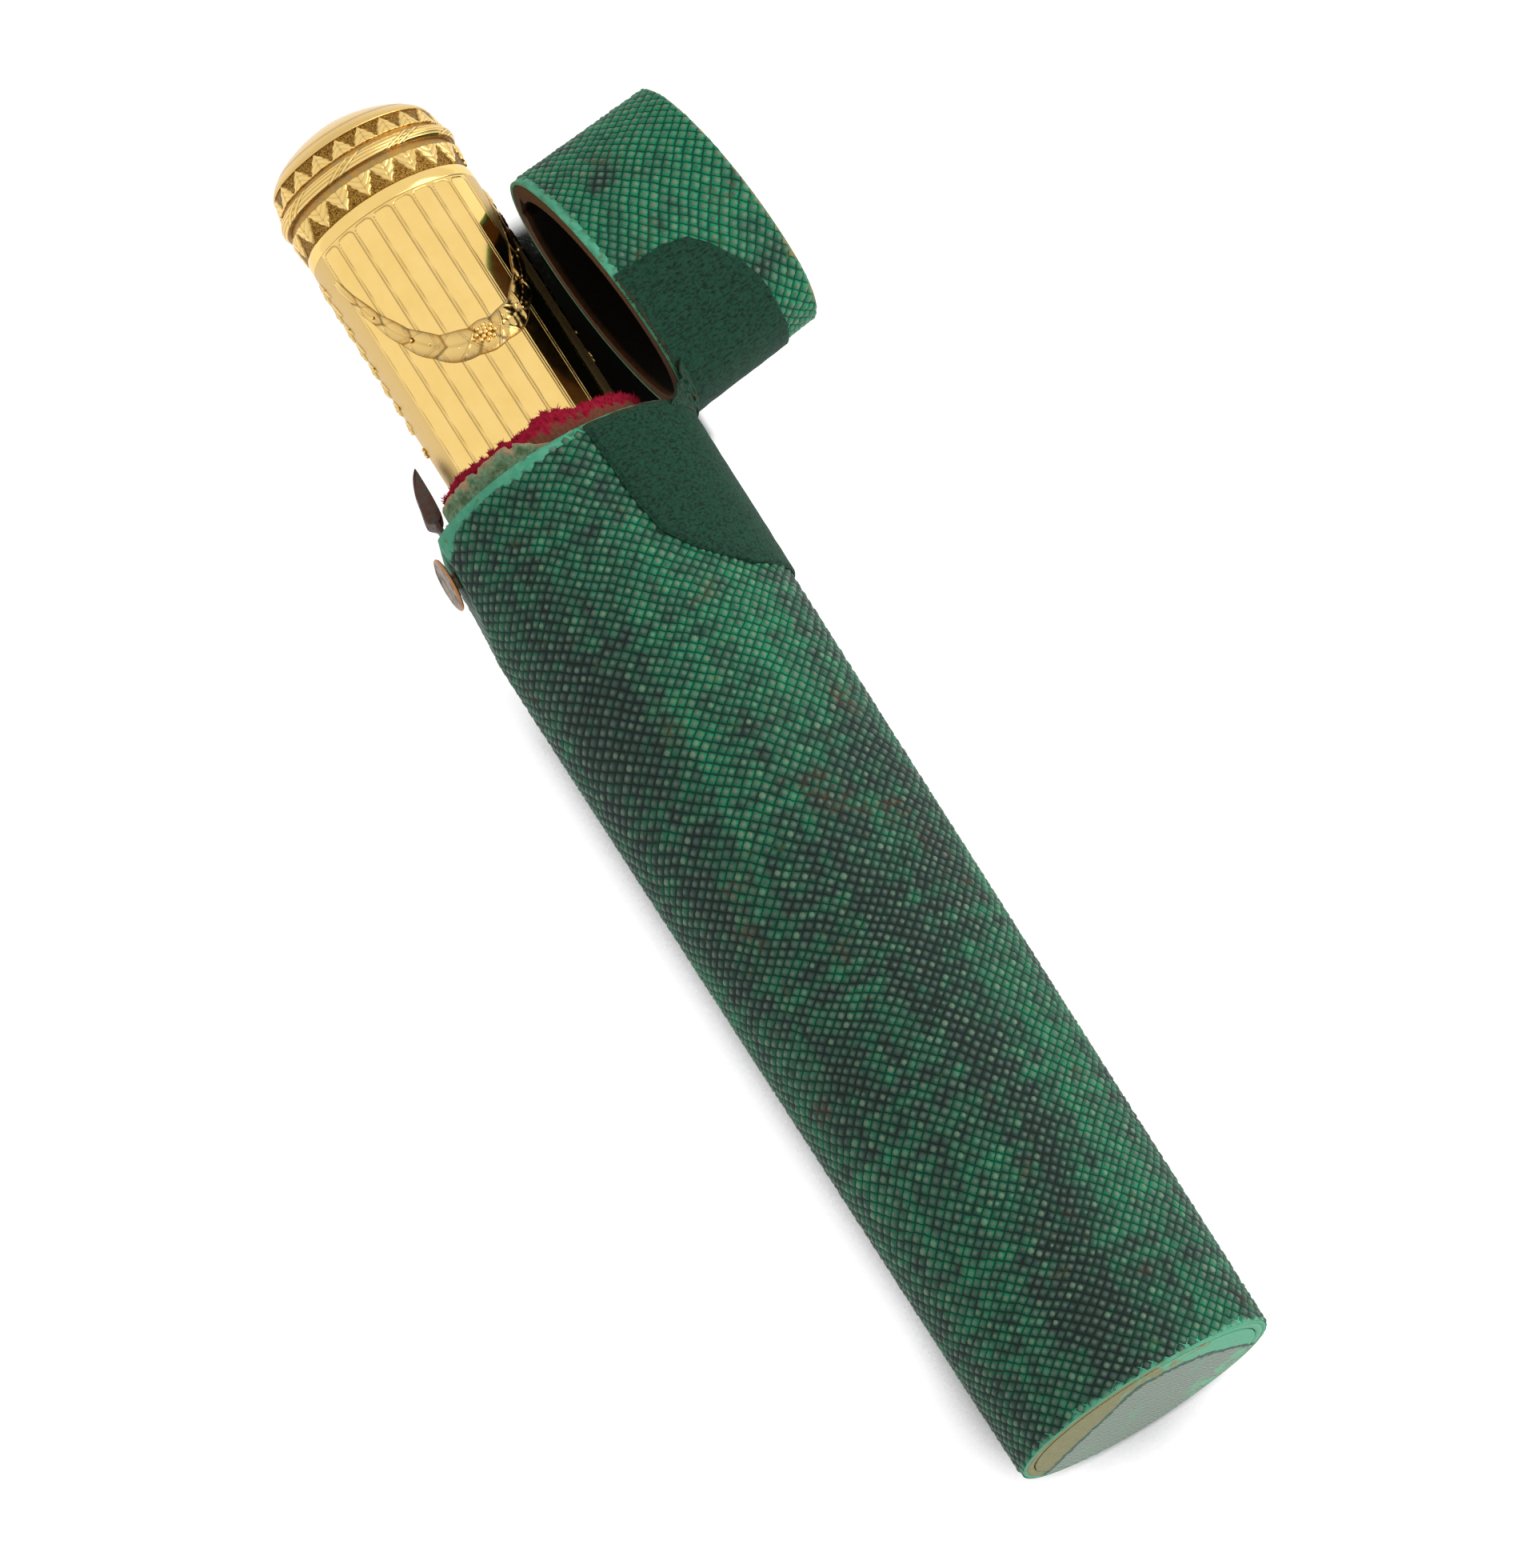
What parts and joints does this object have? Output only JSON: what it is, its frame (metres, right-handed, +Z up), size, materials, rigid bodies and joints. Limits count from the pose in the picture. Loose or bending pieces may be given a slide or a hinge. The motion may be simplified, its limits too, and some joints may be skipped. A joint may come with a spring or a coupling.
{
  "type": "etui",
  "caption": "Gold pocket etui with milled flutes and laurel garlands, half drawn from its fitted green shagreen case, whose leather-hinged lid stands open above a spring catch and its button.",
  "frame": {"origin": "centre of the case's base end, on the case's long axis", "axes": "+Y along the case towards its mouth and the etui's dome, +X towards the leather hinge, +Z up from the broad side that it lies on"},
  "size_m": [0.0465, 0.1537, 0.0258],
  "materials": {
    "gold": "burnished gold, milled and engraved",
    "shagreen": "green shagreen, polished round scales",
    "base_shagreen": "pale worn shagreen",
    "leather": "worn dark green hinge leather",
    "wood": "plain carved wood",
    "neck_board": "mottled green painted board",
    "velvet": "crimson velvet pile",
    "lid_lining": "blackened lining silk",
    "iron": "rusted spring iron",
    "bronze": "tarnished"
  },
  "bodies": {
    "case": {"case_core": "wood", "case_skin": "shagreen", "base_board": "wood", "base_skin": "base_shagreen", "case_neck": "neck_board", "case_lining": "velvet", "case_floor_pad": "velvet", "catch_foot": "iron", "catch_rivets": "iron", "hinge_roll": "leather", "hinge_patch_case": "leather"},
    "lid": {"lid_core": "wood", "lid_skin": "shagreen", "lid_top_board": "wood", "lid_top_skin": "base_shagreen", "lid_lining": "lid_lining", "lid_strike": "iron", "hinge_patch_lid": "leather"},
    "etui": {"etui_tube": "gold", "etui_sleeve": "gold", "etui_foot_plate": "gold", "etui_foot_ring": "gold", "etui_foot_border": "gold", "etui_foot_band": "gold"},
    "cap": {"cap_tube": "gold", "cap_band": "gold", "cap_lower_border": "gold", "cap_reeded_ring": "gold", "cap_upper_border": "gold", "cap_dome": "gold", "cap_boss": "gold", "garland_front": "gold", "garland_back": "gold", "drop_left": "gold", "drop_right": "gold"},
    "button": {"button": "bronze"},
    "catch": {"catch_spring": "iron"}
  },
  "joints": [
    {"name": "lid_hinge", "type": "hinge", "parent": "case", "child": "lid", "pos_m": [0.01512, 0.1082, 0], "axis": [0, 0, -1], "range_deg": [-2, 80]},
    {"name": "etui_slide", "type": "slide", "parent": "case", "child": "etui", "axis": [0, 1, 0], "range_m": [-0.0325, 0.078]},
    {"name": "cap_slide", "type": "slide", "parent": "etui", "child": "cap", "axis": [0, 1, 0], "range_m": [0, 0.014]},
    {"name": "button_press", "type": "slide", "parent": "case", "child": "button", "axis": [1, 0, 0], "range_m": [0, 0.0004], "stiffness_N_per_m": 2000},
    {"name": "catch_flex", "type": "hinge", "parent": "case", "child": "catch", "pos_m": [-0.0124, 0.0882, 0], "axis": [0, 0, -1], "range_deg": [0, 1.4]}
  ],
  "couplings": [
    {"joint": "catch_flex", "follows": "button_press", "rad_per_m": 58.8}
  ]
}
